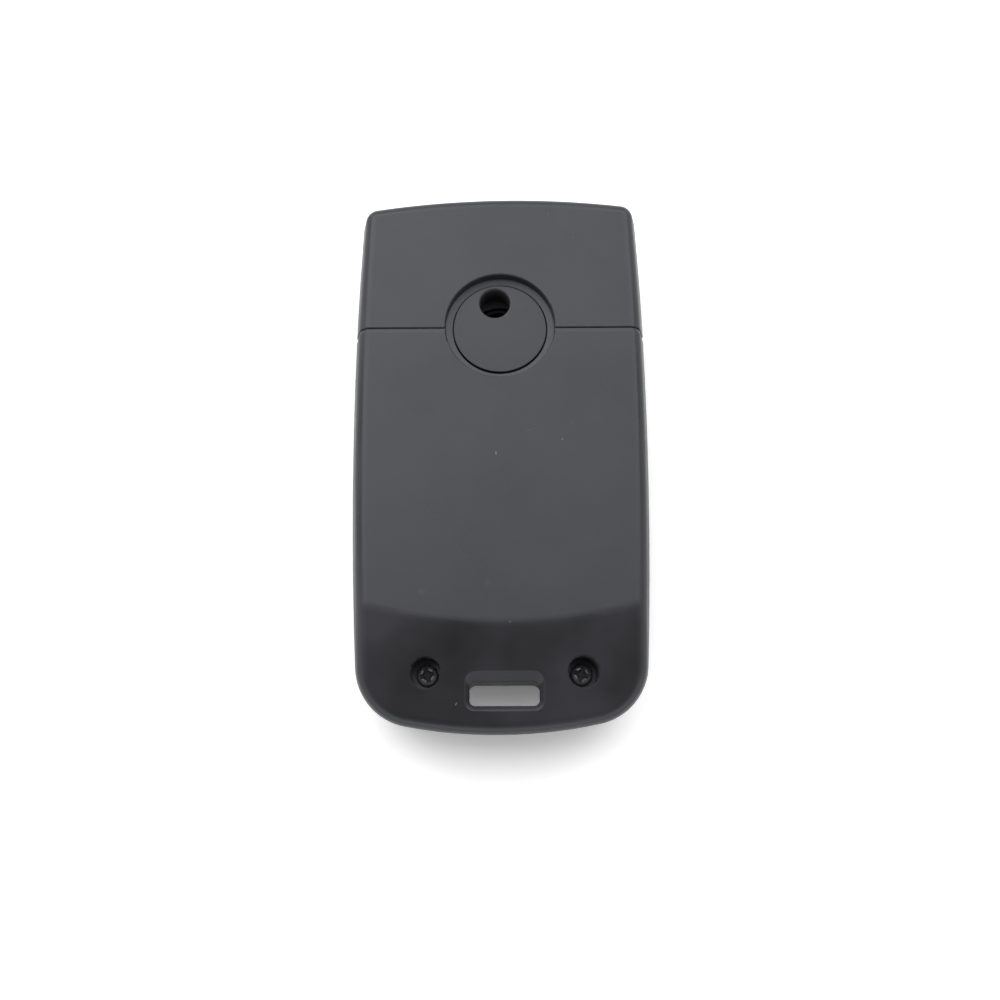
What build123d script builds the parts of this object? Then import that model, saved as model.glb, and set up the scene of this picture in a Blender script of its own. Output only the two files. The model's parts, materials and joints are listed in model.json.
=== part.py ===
from build123d import *
import os
from math import hypot, isclose, radians, sqrt, tan

# Flip key remote shell, folded shut, lying on its key side with its back up.
# Millimetres. X runs right, Y towards the blade end and Z up, out of the back face.
# The origin is the middle of the footprint, on the surface that the shell lies on.

# Body, measured at the parting line where it is widest
body_length = 75.2
body_width = 40.37
body_thickness = 15.0
parting_drop = 4.0
widest_inset = 30.91
side_arc_radius = 593.0
top_arc_radius = 124.0
top_arc_x = 1.7
bottom_arc_radius = 65.0
bottom_arc_x = -0.5
top_corner_radius = 2.5
bottom_corner_radius = 8.1
smallest_corner = 0.3

# Front shell moulding
front_plate = 1.2
front_wall = 1.6
front_draft = 3.0
front_edge_radius = 1.8
front_step = 0.1
chin_inset = 8.6
chin_slope = 30.0
chin_softness = 6.0

# Two covers of the back
cover_wall = 1.6
back_draft = 13.0
back_edge_radius = 1.75
seam_gap = 0.08
head_seam_radius = 0.15
seam_bevel_width = 0.6
seam_bevel_depth = 0.15
crease_inset = 13.92
crease_arc_radius = 67.0
crease_softness = 6.0
tail_slope = 10.5

# Pivot of the blade, just above the seam
pivot_inset = 20.25
seam_drop = 0.44
disc_radius = 6.46
disc_drop = 1.25
disc_gap = 0.12
disc_edge_radius = 0.15
recess_radius = 7.52
recess_depth = 1.4
recess_rise = 0.15
recess_rim = 0.2
ring_gap = 0.05
disc_hole_radius = 2.05
disc_hole_x = -0.71
disc_hole_y = 3.74
disc_hole_depth = 3.45
disc_hole_rim = 0.3

# Blade carrier
carrier_radius = 9.5
carrier_drop = 2.8
carrier_thickness = 5.2
arm_length = 15.0
arm_wall = 1.4
arm_root_radius = 1.0
arm_tip_radius = 0.8
arm_edge_radius = 0.4
spigot_radius = 7.25
spigot_length = 2.0
spigot_gap = 0.05
chamber_radius = 6.0
chamber_depth = 4.3
spring_well_radius = 4.6
spring_well_depth = 6.0

# Blade and its pin
blade_width = 8.4
blade_thickness = 2.3
blade_rise = 1.7
blade_root = 7.4
blade_swing_gap = 0.6
blade_fit = 0.03
blade_point = 3.2
groove_width = 2.2
groove_depth = 0.6
groove_start = 17.5
groove_end_gap = 5.0
pin_radius = 0.8
pin_fit = 0.02
pin_reach = 10.6

# Bearing of the hub
tower_wall = 1.7
lower_washer_room = 0.4
upper_washer_room = 0.3
washer_gap = 0.05

# Release button and its spring
button_gap = 0.2
button_step = 0.6
button_face = 0.3
button_travel = 1.8
button_flange_radius = 6.95
button_flange_top = 2.2
button_dish = 0.3
skirt_radius = 5.8
skirt_wall = 1.1
skirt_end_gap = 0.3
button_floor = 1.9
key_rib_width = 1.6
key_rib_gap = 0.2
spring_radius = 3.9
wire_radius = 0.4
spring_turns = 6.5
spring_seat_gap = 0.05

# Three keys in a column
key_width = 22.0
key_bar = 2.8
key_corner = 2.4
key_gap = 0.15
key_face = 0.3
key_flange = 0.6
key_flange_thickness = 0.6
key_travel = 0.5
key_dish = 0.2
plate_gap = 0.05
frame_wall = 0.9
frame_gap = 0.2
frame_tower_gap = 0.6
frame_boss_gap = 2.7
membrane_thickness = 0.5
membrane_corner = 1.2
plunger_radius = 1.6
plunger_height = 0.3
membrane_peg_radius = 0.55
membrane_peg_spacing = 12.0
membrane_peg_height = 0.2
membrane_peg_gap = 0.1

# Board cover between the electronics bay and the blade's slot
board_cover_thickness = 0.75
blade_floor_gap = 0.6
well_plate = 0.9
well_room = 0.5
well_gap = 1.0
board_cover_gap = 0.15
guide_wall = 0.9
guide_gap = 0.5
ceiling_gap = 0.1
support_radius = 1.6
support_gap = 0.9
support_inset = 3.9
cell_length = 20.0
cell_wall = 0.8
cell_room = 1.0
cell_shift = 3.9
cell_gap = 1.1
opening_step = 0.1

# Case screws, driven from the back
screw_side_inset = 10.025
screw_shift = 0.33
screw_inset = 7.825
seat_wall = 1.0
boss_radius = 3.0
boss_depth = 4.1
boss_gap = 0.05
counterbore_radius = 2.02
counterbore_rim = 0.15
shank_radius = 0.85
shank_hole_radius = 0.95
pilot_radius = 0.87
pilot_floor = 2.0
shank_end_gap = 0.3
screw_head_radius = 1.45
screw_head_height = 1.2
screw_head_edge = 0.5
driver_width = 0.42
driver_length = 1.75
driver_depth = 0.65

# Key ring slot, right through the shell
slot_width = 8.95
slot_height = 3.0
slot_inset = 5.085
slot_corner = 0.7
slot_wall = 1.2
slot_draft = 2.5
mouth_depth = 0.7
mouth_side = 0.64
mouth_ramp = 1.46
mouth_rim = 0.2

# Fixing of the head cover
ear_drop = 3.2
ear_radius = 2.4
ear_gap = 0.05
ear_thickness = 0.9
ear_screw_head_height = 0.85
post_rise = 3.3
post_radius = 1.0
post_depth = 2.8
post_gap = 0.05
post_wall = 0.9
tongue_hub_gap = 0.8
tongue_ear_gap = 0.1
tongue_reach = 2.4
tongue_root = 3.0
tongue_thickness = 0.8
tongue_gap = 0.15
rib_thickness = 0.8
rib_height = 0.9
rib_count = 4
rib_start = 6.2
rib_end_gap = 5.85

# Chip holder in the head
chip_side_gap = 2.3
chip_tower_gap = 0.15
chip_post_gap = 0.25
chip_end_inset = 4.75
chip_top_gap = 0.8
chip_wall = 0.7
chip_gap = 0.1
chip_rib_height = 1.2

# Pad under the blade's tip
pad_size = 6.0
pad_thickness = 0.4
pad_inset = 4.5

# Least upward share of a face's normal on an end face, and the most of it on a wall
end_face_share = 0.7
wall_share = 0.4

# What follows from those sizes
half_length = body_length / 2
parting_height = body_thickness - parting_drop
widest_y = half_length - widest_inset
pivot_y = half_length - pivot_inset
seam_low = pivot_y - seam_drop - seam_gap / 2
seam_high = pivot_y - seam_drop + seam_gap / 2
ceiling = body_thickness - cover_wall
crease_y = crease_inset - half_length
crease_centre_y = crease_y + crease_arc_radius
chin_y = chin_inset - half_length
bore_radius = disc_radius + disc_gap
disc_height = body_thickness - disc_drop
recess_high = body_thickness - recess_depth
carrier_high = body_thickness - carrier_drop
carrier_low = carrier_high - carrier_thickness
spigot_low = carrier_low - spigot_length
chamber_roof = spigot_low + chamber_depth
spring_well_roof = spigot_low + spring_well_depth
arm_half = blade_width / 2 + arm_wall
arm_root_y = pivot_y - sqrt(carrier_radius**2 - arm_half**2)
blade_low = carrier_low + blade_rise
blade_high = blade_low + blade_thickness
tower_top = carrier_low - lower_washer_room
rim_low = carrier_high + upper_washer_room
tower_bore = spigot_radius + spigot_gap
tower_radius = tower_bore + tower_wall
button_radius = skirt_radius + button_step
front_hole_radius = button_radius + button_gap
skirt_top = chamber_roof - button_travel - skirt_end_gap
slot_y = slot_inset - half_length
sleeve_width = slot_width + 2 * slot_wall
sleeve_height = slot_height + 2 * slot_wall
sleeve_top = slot_y + sleeve_height / 2
boss_low = parting_height - boss_depth
screw_seat = boss_low + seat_wall
shank_length = screw_seat - pilot_floor - shank_end_gap
screw_y = screw_inset - half_length
screw_left_x = screw_shift + screw_side_inset - body_width / 2
screw_right_x = screw_shift - screw_side_inset + body_width / 2
screw_reach = hypot(screw_right_x, pivot_y - screw_y) - boss_radius
blade_reach = min(pivot_y - sleeve_top, screw_reach) - blade_swing_gap
inner_half = body_width / 2 - front_step - front_wall
opening_reach = blade_reach + blade_swing_gap
opening_low_y = pivot_y - sqrt(opening_reach**2 - inner_half**2)
guide_x = -blade_width / 2 - guide_gap
well_radius = arm_length + well_gap
frame_low_y = screw_y + boss_radius + frame_boss_gap
frame_high_y = pivot_y - tower_radius - frame_tower_gap
frame_margin = key_flange + frame_gap + frame_wall
frame_top = front_plate + key_flange_thickness + key_travel + 2 * plate_gap
frame_half_x = key_width / 2 + frame_margin
frame_half_y = (frame_high_y - frame_low_y) / 2
middle_key_y = (frame_high_y + frame_low_y) / 2
key_pitch = (2 * frame_half_y - 2 * frame_margin + key_bar) / 3
key_height = key_pitch - key_bar
support_x = frame_half_x + support_gap + support_radius
support_low_y = frame_low_y + support_inset
support_high_y = frame_high_y - support_inset
cell_y = middle_key_y - cell_shift
cell_width = inner_half + guide_x - guide_wall - 2 * cell_gap
guide_high = ceiling - rib_height - ceiling_gap
cell_high = guide_high - cell_room
board_cover_top = blade_low - blade_floor_gap
board_cover_low = board_cover_top - board_cover_thickness
well_floor = carrier_low - well_room - well_plate
opening_low = board_cover_top + opening_step
membrane_top = frame_top + membrane_thickness
ear_screw_x = ear_radius - inner_half
ear_screw_y = pivot_y - ear_drop
post_boss = post_radius + post_gap + post_wall
post_x = post_boss - inner_half
post_y = pivot_y + post_rise
first_rib_y = crease_y + rib_start
rib_pitch = (pivot_y - carrier_radius - rib_end_gap - first_rib_y) / (rib_count - 1)
tongue_low_x = carrier_radius + tongue_hub_gap
tongue_high_x = inner_half - 2 * ear_radius - tongue_ear_gap
tongue_x = (tongue_high_x + tongue_low_x) / 2
tongue_width = tongue_high_x - tongue_low_x
chip_width = inner_half - tower_radius - chip_tower_gap - chip_side_gap
chip_x = chip_side_gap + chip_width / 2 - inner_half
chip_low_y = post_y + post_boss + chip_post_gap
chip_length = half_length - chip_end_inset - chip_low_y
chip_y = chip_low_y + chip_length / 2
chip_height = well_floor - front_plate - chip_top_gap


def body_plan(height, inset):
    """Plan of the body on a level, set in all round from the parting line."""
    side_centre = side_arc_radius - body_width / 2
    with BuildSketch(Plane.XY.offset(height)) as plan:
        with Locations(Location((side_centre, widest_y), 0)):
            Circle(side_arc_radius - inset)
        with Locations(Location((-side_centre, widest_y), 180)):
            Circle(side_arc_radius - inset, mode=Mode.INTERSECT)
        with Locations((top_arc_x, half_length - top_arc_radius)):
            Circle(top_arc_radius - inset, mode=Mode.INTERSECT)
        with Locations((bottom_arc_x, bottom_arc_radius - half_length)):
            Circle(bottom_arc_radius - inset, mode=Mode.INTERSECT)
        fillet(plan.vertices().sort_by(Axis.Y)[-2:], max(top_corner_radius - inset, smallest_corner))
        fillet(plan.vertices().sort_by(Axis.Y)[:2], max(bottom_corner_radius - inset, smallest_corner))
    return plan.sketch


def drafted_body(low, low_inset, high, high_inset):
    """Solid of the body's plan between two levels, with a straight draft on its walls."""
    with BuildPart() as body:
        loft(sections=[body_plan(low, low_inset), body_plan(high, high_inset)], ruled=True)
    return body.part


def front_inset(height, wall):
    """How far the front shell's wall stands in from the parting line on a level."""
    return front_step + wall + (parting_height - height) * tan(radians(front_draft))


def chin(rise):
    """All that lies above the front face and its chin, raised by a wall's thickness."""
    reach = body_length
    with BuildPart() as above:
        with BuildSketch(Plane.YZ.offset(-body_width)) as profile:
            with BuildLine():
                Polyline(
                    (chin_y + reach, rise),
                    (chin_y, rise),
                    (chin_y - reach, rise + reach * tan(radians(chin_slope))),
                    (chin_y - reach, rise + 2 * reach),
                    (chin_y + reach, rise + 2 * reach),
                    close=True,
                )
            make_face()
            fillet(profile.vertices().sort_by_distance((chin_y, rise))[0], chin_softness)
        extrude(amount=2 * body_width)
    return above.part


def front_blank():
    """Outside of the front shell, still solid, with its edge and chin rounded."""
    with BuildPart() as blank:
        add(drafted_body(0, front_inset(0, 0), parting_height, front_inset(parting_height, 0)))
        add(chin(0), mode=Mode.INTERSECT)
        bottoms = blank.faces().filter_by(lambda face: face.normal_at().Z < -end_face_share)
        sides = blank.faces().filter_by(lambda face: abs(face.normal_at().Z) < wall_share)
        fillet(bottoms.edges() & sides.edges(), front_edge_radius)
    return blank.part


def crown(drop):
    """All that lies below the back face and its sloping tail, lowered by a drop."""
    flat = body_thickness - drop
    reach = crease_centre_y + half_length + bottom_corner_radius
    tail = flat - (reach - crease_arc_radius) * tan(radians(tail_slope))
    with BuildPart() as below:
        with BuildSketch(Plane.XZ.offset(-crease_centre_y)) as profile:
            with BuildLine():
                Polyline((0, 0), (0, flat), (crease_arc_radius, flat), (reach, tail), (reach, 0), close=True)
            make_face()
            crease = profile.vertices().sort_by_distance((crease_arc_radius, flat))[0]
            fillet(crease, crease_softness)
        revolve(axis=Axis((0, crease_centre_y, 0), (0, 0, 1)))
    return below.part


def back_height(y):
    """Height of the back face on the middle line."""
    return body_thickness - max(crease_y - y, 0) * tan(radians(tail_slope))


def back_blank():
    """Drafted and rounded back of the body above the parting line, still solid."""
    with BuildPart() as blank:
        high = body_thickness + cover_wall
        high_inset = (high - parting_height) * tan(radians(back_draft))
        add(drafted_body(parting_height, 0, high, high_inset))
        add(crown(0), mode=Mode.INTERSECT)
        tops = blank.faces().filter_by(lambda face: face.normal_at().Z > end_face_share)
        sides = blank.faces().filter_by(lambda face: abs(face.normal_at().Z) < wall_share)
        fillet(tops.edges() & sides.edges(), back_edge_radius)
    return blank.part


def cover_cavity():
    """Hollow under the back covers, with a ceiling that follows the back face."""
    with BuildPart() as cavity:
        extrude(body_plan(parting_height - front_plate, cover_wall), amount=body_thickness)
        add(crown(cover_wall), mode=Mode.INTERSECT)
    return cavity.part


def pivot_recess():
    """Round recess about the hub's disc in the head cover, and the bore below it."""
    top = body_thickness + cover_wall
    with BuildPart() as recess:
        with BuildSketch(Plane.XZ.offset(-pivot_y)):
            with BuildLine():
                Polyline(
                    (0, carrier_high),
                    (bore_radius, carrier_high),
                    (bore_radius, recess_high - recess_rise),
                    (recess_radius - ring_gap, recess_high),
                    (recess_radius, recess_high),
                    (recess_radius, top),
                    (0, top),
                    close=True,
                )
            make_face()
        revolve(axis=Axis((0, pivot_y, 0), (0, 0, 1)))
    return recess.part


def recess_rim_edges(cover):
    """Edges between a cover's back face and the recess."""
    arcs = cover.edges().filter_by(GeomType.CIRCLE)
    return arcs.filter_by(lambda arc: isclose(arc.radius, recess_radius)).group_by(Axis.Z)[-1]


def round_slot(height, width, length, corner):
    """Rounded rectangle about the key ring slot's centre, on a level."""
    with BuildSketch(Plane.XY.offset(height)) as slot:
        with Locations((screw_shift, slot_y)):
            RectangleRounded(width, length, corner)
    return slot.sketch


def slot_core():
    """Key ring slot right through the shell, wider towards the key face."""
    mouth_low = back_height(slot_y) - mouth_depth
    narrow = round_slot(mouth_low, slot_width, slot_height, slot_corner)
    with BuildPart() as core:
        extrude(narrow, amount=-mouth_low, taper=-slot_draft)
        extrude(narrow, amount=body_thickness)
    return core.part


def slot_mouth():
    """Funnel of the key ring slot in the sloping tail, with a long ramp on its upper side."""
    tail = Plane(
        origin=(screw_shift, slot_y, back_height(slot_y)), x_dir=(1, 0, 0),
        z_dir=(0, -tan(radians(tail_slope)), 1)
    )
    with BuildPart() as mouth:
        for height, spread in ((-mouth_depth, 0), (mouth_depth, 2)):
            side = spread * mouth_side
            ramp = spread * mouth_ramp
            with BuildSketch(tail.offset(height)):
                with Locations((0, (ramp - side) / 2)):
                    RectangleRounded(slot_width + 2 * side, slot_height + side + ramp, slot_corner + side)
        loft(ruled=True)
    return mouth.part


def pan_screw(x, y, seat, length, head_height):
    """Pan head screw with a cross recess, its head's underside on the seat."""
    with BuildPart() as screw:
        with BuildSketch(Plane.XY.offset(seat)):
            with Locations((x, y)):
                Circle(screw_head_radius)
        extrude(amount=head_height)
        fillet(screw.edges().group_by(Axis.Z)[-1], screw_head_edge)
        with BuildSketch(Plane.XY.offset(seat)):
            with Locations((x, y)):
                Circle(shank_radius)
        extrude(amount=-length)
        with BuildSketch(Plane.XY.offset(seat + head_height)):
            with Locations((x, y)):
                Rectangle(driver_length, driver_width)
                Rectangle(driver_width, driver_length)
        extrude(amount=-driver_depth, mode=Mode.SUBTRACT)
    return screw


# Front shell: key face, walls, bearing tower, screw bosses and key frame
with BuildPart() as front_shell:
    add(front_blank())
    hollow_inset = front_inset(front_plate, front_wall)
    hollow_mouth = front_inset(body_thickness, front_wall)
    hollow = drafted_body(front_plate, hollow_inset, body_thickness, hollow_mouth) & chin(front_plate)
    add(hollow, mode=Mode.SUBTRACT)
    with BuildSketch(Plane.XY.offset(front_plate)):
        with Locations((0, pivot_y)):
            Circle(tower_radius)
    extrude(amount=tower_top - front_plate)
    with BuildSketch(Plane.XY.offset(front_plate)):
        with Locations((0, pivot_y)):
            Circle(tower_bore)
        with Locations((-tower_bore, pivot_y), (tower_bore, pivot_y)):
            Rectangle(2 * (tower_bore - front_hole_radius), key_rib_width, mode=Mode.SUBTRACT)
    extrude(amount=spigot_low - spigot_gap - front_plate, mode=Mode.SUBTRACT)
    with BuildSketch(Plane.XY.offset(spigot_low - spigot_gap)):
        with Locations((0, pivot_y)):
            Circle(tower_bore)
    extrude(amount=tower_top, mode=Mode.SUBTRACT)
    with BuildSketch(Plane.XY):
        with Locations((0, pivot_y)):
            Circle(front_hole_radius)
        with Locations((0, middle_key_y)), GridLocations(0, key_pitch, 1, 3):
            RectangleRounded(key_width, key_height, key_corner)
    extrude(amount=front_plate, mode=Mode.SUBTRACT)
    with BuildSketch(Plane.XY.offset(front_plate)):
        with Locations((0, middle_key_y)):
            Rectangle(2 * frame_half_x, 2 * frame_half_y)
            Rectangle(2 * (frame_half_x - frame_wall), 2 * (frame_half_y - frame_wall), mode=Mode.SUBTRACT)
            with GridLocations(0, key_pitch, 1, 2):
                Rectangle(2 * frame_half_x, key_pitch - key_height - 2 * key_flange - 2 * frame_gap)
    extrude(amount=frame_top - front_plate)
    with BuildSketch(Plane.XY.offset(front_plate)):
        with Locations((0, middle_key_y)), GridLocations(membrane_peg_spacing, key_pitch, 2, 2):
            Circle(membrane_peg_radius)
    extrude(amount=membrane_top + membrane_peg_height - front_plate)
    with BuildSketch(Plane.XY.offset(front_plate)):
        with Locations((screw_left_x, screw_y), (screw_right_x, screw_y)):
            Circle(boss_radius)
    extrude(amount=boss_low - boss_gap - front_plate)
    extrude(round_slot(front_plate, sleeve_width, sleeve_height, slot_corner + slot_wall),
            amount=boss_low - boss_gap - front_plate)
    add(slot_core(), mode=Mode.SUBTRACT)
    with BuildSketch(Plane.XY.offset(front_plate)):
        with Locations((support_x, support_low_y), (-support_x, support_low_y),
                       (support_x, support_high_y), (-support_x, support_high_y)):
            Circle(support_radius)
    extrude(amount=board_cover_low - front_plate)
    with BuildSketch(Plane.XY.offset(front_plate)):
        with Locations((ear_screw_x, ear_screw_y)):
            Circle(ear_radius)
        with Locations((post_x, post_y)):
            Circle(post_boss)
    extrude(amount=parting_height - front_plate)
    with BuildSketch(Plane.XY.offset(front_plate)):
        with Locations((chip_x, chip_y)):
            Rectangle(chip_width + 2 * (chip_gap + chip_wall), chip_length + 2 * (chip_gap + chip_wall))
            Rectangle(chip_width + 2 * chip_gap, chip_length + 2 * chip_gap, mode=Mode.SUBTRACT)
            Rectangle(chip_width / 2, 2 * chip_length, mode=Mode.SUBTRACT)
    extrude(amount=chip_rib_height)
    with BuildSketch(Plane.XY.offset(parting_height)):
        with Locations((post_x, post_y)):
            Circle(post_radius + post_gap)
    extrude(amount=-post_depth - post_gap, mode=Mode.SUBTRACT)
    with BuildSketch(Plane.XY.offset(parting_height)):
        with Locations((ear_screw_x, ear_screw_y)):
            Circle(pilot_radius)
    extrude(amount=-shank_length, mode=Mode.SUBTRACT)
    with BuildSketch(Plane.XY.offset(pilot_floor)):
        with Locations((screw_left_x, screw_y), (screw_right_x, screw_y)):
            Circle(pilot_radius)
    extrude(amount=boss_low, mode=Mode.SUBTRACT)
    with BuildSketch(Plane.XY.offset(opening_low)):
        with Locations((guide_x, opening_low_y)):
            Rectangle(body_width, body_length, align=Align.MIN)
    extrude(amount=body_thickness, mode=Mode.SUBTRACT)
    add(chin(0), mode=Mode.INTERSECT)

# Head cover: the fixed end of the back, with a ring about the hub that runs on under the back cover
with BuildPart() as head_cover:
    add(back_blank())
    split(bisect_by=Plane.XZ.offset(-seam_high), keep=Keep.BOTTOM)
    seam_edges = head_cover.faces().sort_by(Axis.Y)[0].edges()
    fillet(seam_edges - seam_edges.group_by(Axis.Z)[0], head_seam_radius)
    add(cover_cavity(), mode=Mode.SUBTRACT)
    with BuildSketch(Plane.XY.offset(parting_height - post_depth)):
        with Locations((post_x, post_y)):
            Circle(post_radius)
    extrude(amount=ceiling - parting_height + post_depth + cover_wall / 2)
    with BuildSketch(Plane.XY.offset(parting_height)):
        with Locations((ear_screw_x, ear_screw_y)):
            Circle(ear_radius - ear_gap)
        with Locations((ear_screw_x, ear_screw_y)):
            Rectangle(2 * (ear_radius - ear_gap), seam_high + ear_radius - ear_screw_y,
                      align=(Align.CENTER, Align.MIN))
    extrude(amount=ear_thickness)
    with BuildSketch(Plane.XY.offset(parting_height)):
        with Locations((ear_screw_x, seam_high)):
            Rectangle(2 * (ear_radius - ear_gap), ear_radius, align=(Align.CENTER, Align.MIN))
    extrude(amount=ceiling - parting_height + cover_wall / 2)
    with BuildSketch(Plane.XY.offset(parting_height)):
        with Locations((ear_screw_x, ear_screw_y)):
            Circle(shank_hole_radius)
    extrude(amount=ear_thickness, mode=Mode.SUBTRACT)
    with BuildSketch(Plane.XY.offset(rim_low)):
        with Locations((0, pivot_y)):
            Circle(carrier_radius)
        with Locations((0, seam_high)):
            Rectangle(body_width, body_width, align=(Align.CENTER, Align.MIN), mode=Mode.INTERSECT)
    extrude(amount=ceiling - rim_low + cover_wall / 2)
    for ring_radius, ring_high in (
        (carrier_radius, ceiling - ring_gap),
        (recess_radius - ring_gap, recess_high),
    ):
        with BuildSketch(Plane.XY.offset(rim_low)):
            with Locations((0, pivot_y)):
                Circle(ring_radius)
        extrude(amount=ring_high - rim_low)
    add(pivot_recess(), mode=Mode.SUBTRACT)
    fillet(recess_rim_edges(head_cover), recess_rim)

# Back cover: the long lower part of the back, held by the two case screws
with BuildPart() as back_cover:
    add(back_blank())
    split(bisect_by=Plane.XZ.offset(-seam_low), keep=Keep.TOP)
    seam_face = back_cover.faces().sort_by(Axis.Y)[-1]
    seam_edges = seam_face.edges()
    chamfer(seam_edges - seam_edges.group_by(Axis.Z)[0], seam_bevel_depth, seam_bevel_width,
            reference=seam_face)
    add(cover_cavity(), mode=Mode.SUBTRACT)
    with BuildSketch(Plane.XY.offset(boss_low)):
        with Locations((screw_left_x, screw_y), (screw_right_x, screw_y)):
            Circle(boss_radius)
    extrude(amount=parting_height - boss_low + cover_wall)
    extrude(round_slot(boss_low, sleeve_width, sleeve_height, slot_corner + slot_wall),
            amount=parting_height - boss_low + cover_wall / 2)
    with BuildSketch(Plane.XY.offset(ceiling - rib_height)):
        for rib in range(rib_count):
            with Locations((0, first_rib_y + rib * rib_pitch)):
                Rectangle(2 * inner_half, rib_thickness)
    extrude(amount=rib_height + cover_wall / 2)
    with BuildSketch(Plane.XY.offset(ceiling - tongue_gap - tongue_thickness)):
        with Locations((-tongue_x, seam_high + tongue_reach), (tongue_x, seam_high + tongue_reach)):
            Rectangle(tongue_width, tongue_reach + tongue_root, align=(Align.CENTER, Align.MAX))
    extrude(amount=tongue_thickness)
    with BuildSketch(Plane.XY.offset(ceiling - tongue_gap - tongue_thickness)):
        with Locations((-tongue_x, seam_low), (tongue_x, seam_low)):
            Rectangle(tongue_width, tongue_root, align=(Align.CENTER, Align.MAX))
    extrude(amount=tongue_thickness + tongue_gap + cover_wall / 2)
    with BuildSketch(Plane.XY.offset(rim_low)):
        with Locations((0, pivot_y)):
            Circle(recess_radius)
    extrude(amount=body_thickness, mode=Mode.SUBTRACT)
    fillet(recess_rim_edges(back_cover), recess_rim)
    with Locations((screw_left_x, screw_y, body_thickness), (screw_right_x, screw_y, body_thickness)):
        CounterBoreHole(shank_hole_radius, counterbore_radius, body_thickness - screw_seat)
    add(slot_core(), mode=Mode.SUBTRACT)
    add(slot_mouth(), mode=Mode.SUBTRACT)
    bores = back_cover.faces().filter_by(GeomType.CYLINDER)
    bores = bores.filter_by(lambda face: isclose(face.radius, counterbore_radius))
    fillet([bore.edges().sort_by(Axis.Z)[-1] for bore in bores], counterbore_rim)
    over_slot = (screw_shift, slot_y, body_thickness)
    tail = back_cover.faces().filter_by(GeomType.CONE).sort_by_distance(over_slot)[0]
    fillet(tail.inner_wires().sort_by_distance(over_slot)[0].edges(), mouth_rim)

# Board cover: floor of the blade's slot, with its well, guide wall and cell housing
with BuildPart() as board_cover:
    plate_inset = front_inset(well_floor, front_wall) + board_cover_gap
    extrude(body_plan(well_floor, plate_inset), amount=board_cover_top - well_floor)
    with BuildSketch(Plane.XY.offset(well_floor)):
        Rectangle(2 * body_width, 2 * body_length)
        with Locations((0, pivot_y)):
            Circle(well_radius + well_plate, mode=Mode.SUBTRACT)
    extrude(amount=board_cover_low - well_floor, mode=Mode.SUBTRACT)
    with BuildSketch(Plane.XY.offset(well_floor + well_plate)):
        with Locations((0, pivot_y)):
            Circle(well_radius)
    extrude(amount=body_thickness, mode=Mode.SUBTRACT)
    with BuildSketch(Plane.XY.offset(board_cover_low)):
        with Locations((guide_x, pivot_y - well_radius - well_plate)):
            Rectangle(guide_wall, opening_reach - well_radius - well_plate, align=Align.MAX)
    extrude(amount=guide_high - board_cover_low)
    cell_x = guide_x - guide_wall - cell_gap - cell_width / 2
    with BuildSketch(Plane.XY.offset(board_cover_low)):
        with Locations((cell_x, cell_y)):
            RectangleRounded(cell_width, cell_length, membrane_corner)
    extrude(amount=cell_high - board_cover_low)
    with BuildSketch(Plane.XY.offset(board_cover_low)):
        with Locations((cell_x, cell_y)):
            Rectangle(cell_width - 2 * cell_wall, cell_length - 2 * cell_wall)
    extrude(amount=cell_high - cell_wall - board_cover_low, mode=Mode.SUBTRACT)
    with BuildSketch(Plane.XY):
        with Locations((0, pivot_y)):
            Circle(tower_radius + board_cover_gap)
        with Locations((screw_left_x, screw_y), (screw_right_x, screw_y)):
            Circle(boss_radius + board_cover_gap)
        with Locations((ear_screw_x, ear_screw_y)):
            Circle(ear_radius + board_cover_gap)
        with Locations((post_x, post_y)):
            Circle(post_boss + board_cover_gap)
        with Locations((0, sleeve_top + board_cover_gap)):
            Rectangle(2 * body_width, body_length, align=(Align.CENTER, Align.MAX))
    extrude(amount=body_thickness, mode=Mode.SUBTRACT)

# Keypad membrane with its plungers, on pegs of the key frame
with BuildPart() as keypad_membrane:
    with BuildSketch(Plane.XY.offset(frame_top)):
        with Locations((0, middle_key_y)):
            RectangleRounded(2 * frame_half_x, 2 * frame_half_y, membrane_corner)
    extrude(amount=membrane_thickness)
    with BuildSketch(Plane.XY.offset(membrane_top)):
        with Locations((0, middle_key_y)), GridLocations(0, key_pitch, 1, 3):
            Circle(plunger_radius)
    extrude(amount=plunger_height)
    with BuildSketch(Plane.XY.offset(frame_top)):
        with Locations((0, middle_key_y)), GridLocations(membrane_peg_spacing, key_pitch, 2, 2):
            Circle(membrane_peg_radius + membrane_peg_gap)
    extrude(amount=membrane_thickness, mode=Mode.SUBTRACT)


def face_dish(x, y, radius, depth, height):
    """Shallow round finger dish in a face that looks down, as a ball to cut away."""
    ball = (radius**2 + depth**2) / (2 * depth)
    return Pos(x, y, height - ball + depth) * Sphere(ball, mode=Mode.PRIVATE)


# Three keys, each a cap in its opening with a flange behind the front plate
keys = {}
for name, row in (("lock_key", 1), ("unlock_key", 0), ("boot_key", -1)):
    key_y = middle_key_y + row * key_pitch
    with BuildPart() as key:
        with BuildSketch(Plane.XY.offset(key_face)):
            with Locations((0, key_y)):
                RectangleRounded(key_width - 2 * key_gap, key_height - 2 * key_gap, key_corner - key_gap)
        extrude(amount=front_plate - key_face + plate_gap)
        with BuildSketch(Plane.XY.offset(front_plate + plate_gap)):
            with Locations((0, key_y)):
                RectangleRounded(key_width + 2 * key_flange, key_height + 2 * key_flange, key_corner)
        extrude(amount=key_flange_thickness)
        add(face_dish(0, key_y, key_height / 2 - key_flange, key_dish, key_face), mode=Mode.SUBTRACT)
    keys[name] = key

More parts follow.
